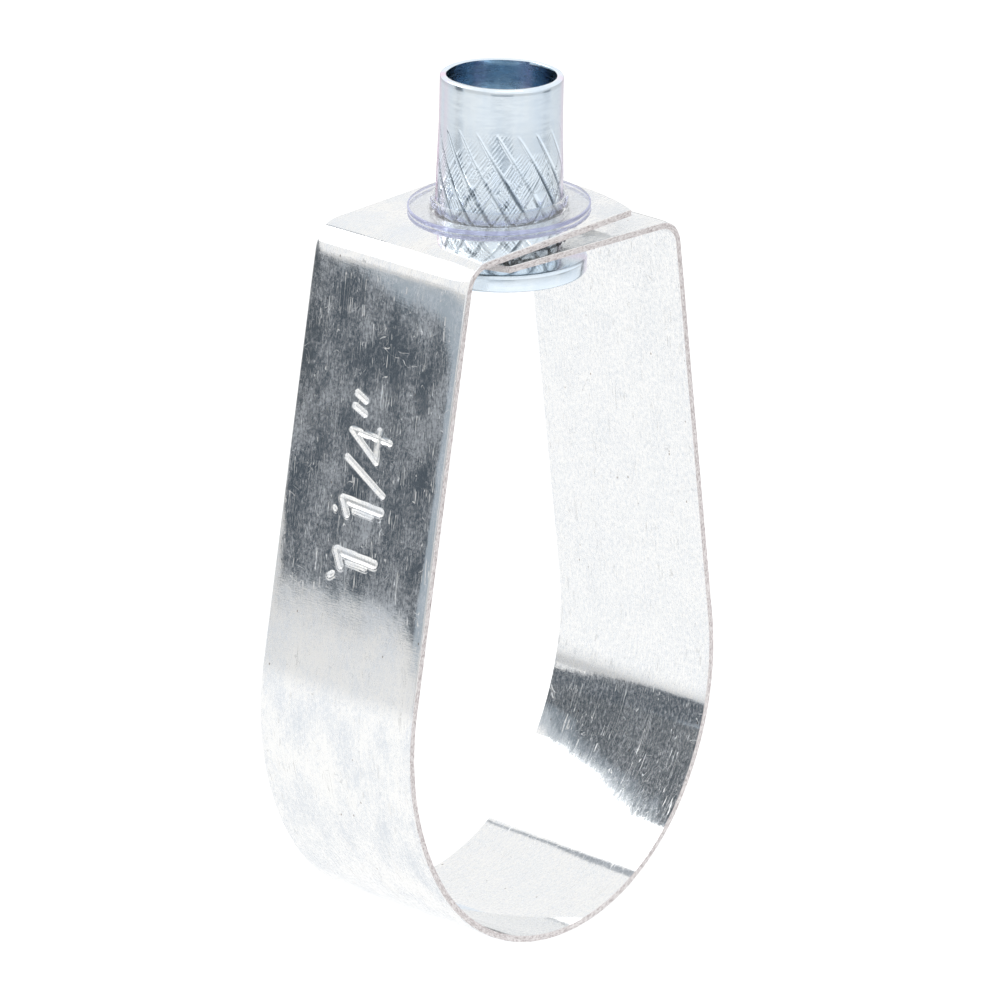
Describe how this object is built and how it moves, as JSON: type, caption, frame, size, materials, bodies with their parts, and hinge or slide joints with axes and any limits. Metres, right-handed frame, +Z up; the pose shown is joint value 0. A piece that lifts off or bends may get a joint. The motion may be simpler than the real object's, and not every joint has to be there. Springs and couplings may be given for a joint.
{
  "type": "swivel ring hanger",
  "caption": "Pear-shaped ring of folded steel strip that cradles a level pipe, hung from a knurled, flanged nut that swivels in its overlapped top leaves and takes a threaded rod.",
  "frame": {"origin": "centre of the round pipe seat at the bottom of the ring, halfway across the strip", "axes": "+Y along the pipe, +Z up along the hanger rod, +X towards the leg whose leaf lies underneath"},
  "size_m": [0.048, 0.0222, 0.0945],
  "materials": {
    "galvanised_strip": "hot-dip galvanised sheet, bright with fine scratches and grey mottling, sheared edges",
    "zinc_plated_steel": "clear blue zinc plate, polished collar over a diamond knurl",
    "clear_vinyl": "glossy translucent violet-blue sheet"
  },
  "bodies": {
    "swivel_nut": {"swivel_nut": "zinc_plated_steel"},
    "retaining_washer": {"retaining_washer": "clear_vinyl"},
    "band": {"band": "galvanised_strip"}
  },
  "joints": [
    {"name": "ring_swivel", "type": "hinge", "parent": "swivel_nut", "child": "retaining_washer", "pos_m": [0, 0, 0.0575], "axis": [0, 0, 1], "continuous": true},
    {"name": "ring_drop", "type": "slide", "parent": "retaining_washer", "child": "band", "axis": [0, 0, -1], "range_m": [0, 0.00195]}
  ]
}
